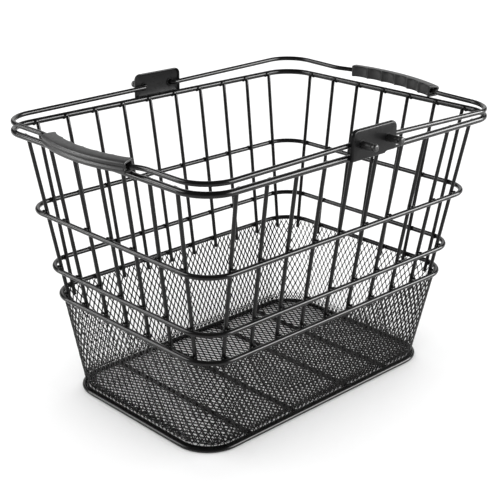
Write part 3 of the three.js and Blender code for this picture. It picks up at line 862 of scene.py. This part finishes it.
def handle_line(side):
    """The handle wire from one pin round to the other. The right one is the left turned half round."""
    quarter = math.pi / 2
    rim_y = RIM["y"]
    leg = HANDLE_REACH - HANDLE_CORNER - PIVOT_X - PIN_BEND
    end_run = rim_y - HANDLE_CORNER - BOW_REACH
    pin = PIN_END - rim_y - PIN_BEND
    moves = [
        (pin, PIN_BEND, quarter), (leg, HANDLE_CORNER, -quarter),
        (end_run, BOW_END_BEND, BOW_ANGLE), (0, BOW_RADIUS, -2 * BOW_ANGLE), (0, BOW_END_BEND, BOW_ANGLE),
        (end_run, HANDLE_CORNER, -quarter), (leg, PIN_BEND, quarter), (pin, PIN_BEND, 0),
    ]
    points = bent_wire(-PIVOT_X, -PIN_END, quarter, moves)
    apart = np.linalg.norm(np.diff(points, axis=0), axis=1) > 1e-7
    keep = np.concatenate([[True], apart])  # a run of 0 repeats the point before it
    points = points[keep] if side == "left" else -points[keep]
    return np.column_stack([points, handle_height(side, points[:, 0], points[:, 1])])


def grip_section():
    """The grip's outline as (up, out): flat inside, crowned on top, and fluted between two lobes outside."""
    half, inner, round_in, round_out = GRIP_HALF_HEIGHT, GRIP_INNER, GRIP_INNER_ROUND, GRIP_OUTER_ROUND
    points = []
    for i in range(5):  # the flat inside
        points.append(((half - round_in) * (i / 2 - 1), -inner))
    for i in range(1, 5):  # the round from the inside up to the top
        turn = math.radians(90 * i / 4)
        points.append((half - round_in * (1 - math.sin(turn)), round_in * (1 - math.cos(turn)) - inner))
    for i in range(1, 4):  # the crowned top
        out = -inner + round_in + (GRIP_OUTER - round_out + inner - round_in) * i / 4
        points.append((half - GRIP_CROWN * (i / 4) ** 2, out))
    lobe = half - GRIP_CROWN - round_out
    for i in range(1, 6):  # the round from the top to the upper lobe
        turn = math.radians(90 * i / 5)
        out = GRIP_OUTER - round_out * (1 - math.sin(turn))
        points.append((lobe + round_out * math.cos(turn), out))
    for i in range(1, 6):  # down into the flute
        up = lobe * (1 - i / 6)
        points.append((up, GRIP_OUTER - GRIP_FLUTE * math.cos(math.pi * up / 2 / lobe) ** 2))
    points.append((0.0, GRIP_OUTER - GRIP_FLUTE))
    upper = points[5:-1]  # all above the flute's floor, mirrored below it
    points += [(-up, out) for up, out in reversed(upper)]
    return np.array(points)


def inset_section(section, inset):
    """A section's points moved inwards by inset, square to the outline."""
    along = np.roll(section, -1, 0) - np.roll(section, 1, 0)
    inward = unit(np.stack([-along[:, 1], along[:, 0]], 1))
    centre = section.mean(0)
    flip = np.sign(np.sum(inward * (centre - section), axis=1, keepdims=True))
    return section + inset * inward * np.where(flip == 0, 1, flip)


def scallop_depth(distance):
    """How deep the finger scallops cut at a distance along the grip from its middle."""
    pitch = GRIP_LENGTH / SCALLOPS
    local = (distance + GRIP_LENGTH / 2) % pitch - pitch / 2
    share = min(1.0, abs(local) / ((pitch - SCALLOP_RIDGE) / 2))
    return SCALLOP_DEPTH * math.sqrt(1 - share ** 2)


def scalloped(section, depth):
    """A grip section with its inner side cut back, less at the edge of the top."""
    up, out = section.T
    edge = GRIP_HALF_HEIGHT - GRIP_INNER_ROUND
    share = np.interp(up, [edge, GRIP_HALF_HEIGHT], [1, SCALLOP_AT_TOP])
    return np.column_stack([up, out + depth * share * np.clip(-out / GRIP_INNER, 0, 1)])


def grip_shell(side):
    """The grip lofted along the handle's bow, with a bore for the wire and a recess in each end."""
    turned = 1 if side == "left" else -1

    def row(distance, section):
        angle = (distance + GRIP_OFF_MIDDLE[side]) / BOW_RADIUS
        out_x, out_y = -math.cos(angle), math.sin(angle)
        x = turned * (BOW_CENTRE + BOW_RADIUS * out_x)
        y = turned * BOW_RADIUS * out_y
        z = handle_height(side, x, y)
        return [
            (x + turned * out_x * out, y + turned * out_y * out, z + up) for up, out in section
        ]

    end = math.asin(GRIP_LENGTH / 2 / BOW_RADIUS) * BOW_RADIUS
    plain = grip_section()
    distances = np.linspace(-end + GRIP_END_ROUND, end - GRIP_END_ROUND, GRIP_ROWS)
    skin = [(d, scalloped(plain, scallop_depth(d))) for d in distances]
    bore_angle = np.arctan2(plain[:, 0], plain[:, 1])
    bore = (HANDLE_RADIUS + BORE_CLEARANCE) * np.stack([np.sin(bore_angle), np.cos(bore_angle)], 1)

    def ending(section, sign):
        rows = []
        for angle in (30, 60, 90):
            turn = math.radians(angle)
            off = end - GRIP_END_ROUND * (1 - math.sin(turn))
            inset = GRIP_END_ROUND * 0.8 * (1 - math.cos(turn))
            rows.append((sign * off, inset_section(section, inset)))
        rows.append((sign * end, inset_section(section, GRIP_WALL)))
        rows.append((sign * (end - 0.3 * MM), inset_section(section, GRIP_WALL + 0.2 * MM)))
        rows.append((sign * (end - GRIP_RECESS), inset_section(section, GRIP_WALL + 0.4 * MM)))
        rows.append((sign * (end - GRIP_RECESS), bore))
        return rows

    rows = list(reversed(ending(skin[0][1], -1))) + skin + ending(skin[-1][1], 1)
    rows += [(d, bore) for d in np.linspace(end - GRIP_RECESS, GRIP_RECESS - end, BORE_ROWS)[1:-1]]
    count = len(plain)
    places, faces = [], []
    for distance, section in rows:
        places += row(distance, section)
    for i in range(len(rows)):
        faces += bridge(i * count, ((i + 1) % len(rows)) * count, count)
    return places, faces


def cap_shell(low, high, facing):
    """A push-on cap: straight skirt, a groove near the tip, and a rounded end."""
    radius, length = (high.x - low.x) / 2, high.y - low.y
    bore = HANDLE_RADIUS + CAP_CLEARANCE
    depth = length - CAP_CLOSED_END
    mouth = [(bore, depth), (bore, 0.3 * MM), (bore + 0.3 * MM, 0.0), (radius - 0.35 * MM, 0.0)]
    skirt = [(radius - 0.08 * MM, 0.3 * MM), (radius - 0.12 * MM, length * 0.66)]
    groove = [(radius - 0.3 * MM, length * 0.69), (radius - CAP_GROOVE, length * 0.71)]
    groove += [(radius - CAP_GROOVE, length * 0.75), (radius - 0.15 * MM, length * 0.775)]
    dome = []
    for i in range(7):
        turn = math.radians(90 * i / 6)
        dome.append((radius - CAP_DOME * (1 - math.cos(turn)), length - CAP_DOME * (1 - math.sin(turn))))
    tip = [(0.6 * MM, length), (0.05 * MM, length), (0.05 * MM, depth)]
    profile = mouth + skirt + groove + dome + tip
    start = low.y if facing > 0 else high.y
    return lathe(profile, ((low.x + high.x) / 2, start, (low.z + high.z) / 2), facing, 36)


def build_handles():
    """Each handle's wire, grip and two end caps, which turn together."""
    for side in ("left", "right"):
        body = f"{side}_handle"
        wire = tube(handle_line(side), HANDLE_RADIUS)
        make_piece(f"{side}_handle_bent", wire, WIRE_FINISH, body, [f"{side}_handle_wire"])
        make_piece(
            f"{side}_grip_moulded", grip_shell(side), GRIP_FINISH, body, [f"{side}_grip"],
            sharp_angle=50,
        )
        for end, facing in (("front", -1), ("back", 1)):
            node = f"{side}_{end}_end_cap"
            shell = cap_shell(*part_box(node), facing)
            make_piece(f"{node}_moulded", shell, CAP_FINISH, body, [node])


# ---------- floor, light and camera ----------

def build_floor():
    """A plain pale floor, much larger than the basket."""
    work = bmesh.new()
    bmesh.ops.create_grid(work, x_segments=8, y_segments=8, size=FLOOR_HALF)
    mesh = bpy.data.meshes.new("floor")
    work.to_mesh(mesh)
    work.free()
    nodes = Nodes("pale_floor")
    nodes.shader.inputs["Specular IOR Level"].default_value = 0.1
    nodes.shader.inputs["Roughness"].default_value = 0.7
    nodes.into("Base Color", nodes.two_tones(nodes.noise(3, 2), (0.86, 0.86, 0.86), (0.88, 0.88, 0.88)))
    mesh.materials.append(nodes.material)
    floor = bpy.data.objects.new("floor", mesh)
    bpy.context.scene.collection.objects.link(floor)


def build_world():
    """White all round for the floor and backdrop, dimmer in the reflections on the wires."""
    world = bpy.data.worlds.new("studio")
    bpy.context.scene.world = world
    world.use_nodes = True
    tree = world.node_tree
    background = tree.nodes["Background"]
    background.inputs["Color"].default_value = (1, 1, 1, 1)
    path = tree.nodes.new("ShaderNodeLightPath")
    dim = tree.nodes.new("ShaderNodeMapRange")
    dim.inputs["To Min"].default_value = WORLD_STRENGTH
    dim.inputs["To Max"].default_value = WORLD_IN_REFLECTIONS
    tree.links.new(path.outputs["Is Glossy Ray"], dim.inputs["Value"])
    tree.links.new(dim.outputs["Result"], background.inputs["Strength"])


def direction(azimuth, elevation):
    """The way from the basket towards an azimuth and elevation in degrees."""
    turn, rise = math.radians(azimuth), math.radians(elevation)
    return Vector((math.sin(turn) * math.cos(rise), -math.cos(turn) * math.cos(rise), math.sin(rise)))


def soft_box(name, azimuth, elevation, distance, width, height, radiance):
    """An area light for reflections only, aimed at the middle of the basket."""
    aim = Vector((0, 0, (cad_low.z + cad_high.z) / 2))
    back = direction(azimuth, elevation)
    light = bpy.data.lights.new(name, "AREA")
    light.shape = "RECTANGLE"
    light.size, light.size_y = width, height
    light.energy = radiance * math.pi * width * height
    holder = bpy.data.objects.new(name, light)
    holder.location = aim + back * distance
    holder.rotation_mode = "QUATERNION"
    holder.rotation_quaternion = (-back).to_track_quat("-Z", "Y")
    holder.visible_camera = False
    holder.visible_diffuse = False
    bpy.context.scene.collection.objects.link(holder)


def build_camera():
    """Stands in front to the left, looking down at the basket with a moderately long lens."""
    roll = math.radians(CAMERA_ROLL)
    camera = bpy.data.cameras.new("camera")
    camera.sensor_width = 36
    camera.lens = CAMERA_LENS
    holder = bpy.data.objects.new("camera", camera)
    holder.rotation_mode = "QUATERNION"
    facing = (-direction(*CAMERA_FROM)).to_track_quat("-Z", "Y").to_matrix()
    level_right, level_up = facing.col[0].copy(), facing.col[1].copy()
    facing.col[0] = level_right * math.cos(roll) + level_up * math.sin(roll)
    facing.col[1] = level_up * math.cos(roll) - level_right * math.sin(roll)
    holder.rotation_quaternion = facing.to_quaternion()
    holder.location = CAMERA_PLACE
    bpy.context.scene.collection.objects.link(holder)
    bpy.context.scene.camera = holder


build_rings()
build_uprights()
build_ribs()
build_side_mesh()
build_bottom_mesh()
build_plates()
build_handles()
build_floor()
build_world()
for box in SOFT_BOXES:
    soft_box(*box)
build_camera()
bpy.context.scene.view_settings.view_transform = "Standard"
